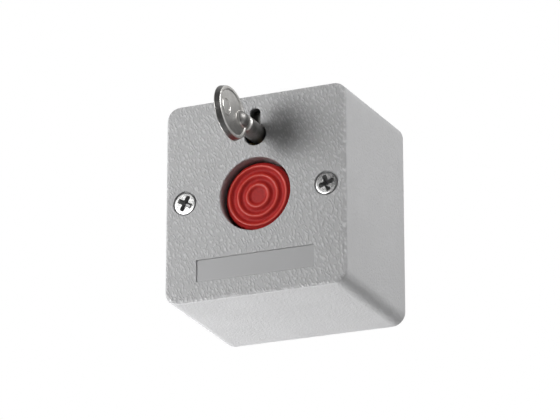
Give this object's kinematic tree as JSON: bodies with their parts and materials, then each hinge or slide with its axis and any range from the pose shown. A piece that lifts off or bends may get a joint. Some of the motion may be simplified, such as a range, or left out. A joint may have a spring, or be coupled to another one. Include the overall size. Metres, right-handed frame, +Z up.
{
  "type": "push button",
  "caption": "Wall-mounted push button in a grey box cover, with a recessed round red button, a label field and a key that resets the latched button.",
  "frame": {"origin": "centre of the flat rear face that lies against the wall", "axes": "+Z up, +X right as seen from the front, +Y into the wall; the button and the key face -Y"},
  "size_m": [0.0676, 0.0807, 0.072],
  "materials": {
    "cover_plastic": "moulded leather-grain grey",
    "dark_plastic": "fine matt",
    "natural_plastic": "natural moulded",
    "zinc_steel": "zinc plated",
    "spring_steel": "bright drawn",
    "brass": "machined",
    "tinned": "tinned",
    "board_green": "solder mask",
    "terminal_plastic": "moulded green",
    "button_red": "moulded red, semi-gloss",
    "nickel": "nickel plated, worn"
  },
  "bodies": {
    "housing": {"front_cover": "cover_plastic", "back_plate": "dark_plastic", "cover_screws": "zinc_steel", "threaded_inserts": "brass", "mechanism_bracket": "natural_plastic", "bracket_screws": "zinc_steel", "latch_clip": "spring_steel", "latch_rivet": "zinc_steel", "circuit_board": "board_green", "board_screws": "zinc_steel", "terminal_block": "terminal_plastic", "terminal_clamps": "brass", "terminal_screws": "zinc_steel", "terminal_pins": "tinned", "switch_body": "dark_plastic", "switch_terminals": "tinned", "switch_pivot": "tinned", "return_spring": "spring_steel"},
    "button": {"button_cap": "button_red", "button_plunger": "natural_plastic", "plunger_clip": "spring_steel"},
    "lock": {"key": "nickel", "lock_rotor": "brass", "release_cam": "zinc_steel", "cam_screw": "zinc_steel"},
    "lever": {"switch_lever": "spring_steel"},
    "switch_plunger": {"switch_button": "button_red"}
  },
  "joints": [
    {"name": "button_press", "type": "slide", "parent": "housing", "child": "button", "axis": [0, 1, 0], "range_m": [0, 0.0035], "stiffness_N_per_m": 500, "springref_m": -0.004, "deforming": ["return_spring", "latch_clip"]},
    {"name": "key_turn", "type": "hinge", "parent": "housing", "child": "lock", "pos_m": [0, -0.05, 0.0217], "axis": [0, 1, 0], "range_deg": [0, 60], "deforming": ["latch_clip"]},
    {"name": "lever_swing", "type": "hinge", "parent": "housing", "child": "lever", "pos_m": [0.009, -0.0208, 0], "axis": [0, 0, 1], "range_deg": [-21, 0]},
    {"name": "switch_press", "type": "slide", "parent": "housing", "child": "switch_plunger", "axis": [0, 1, 0], "range_m": [0, 0.0012]}
  ],
  "couplings": [
    {"joint": "lever_swing", "follows": "button_press", "rad_per_m": -104.7},
    {"joint": "switch_press", "follows": "button_press", "ratio": 0.3428}
  ]
}
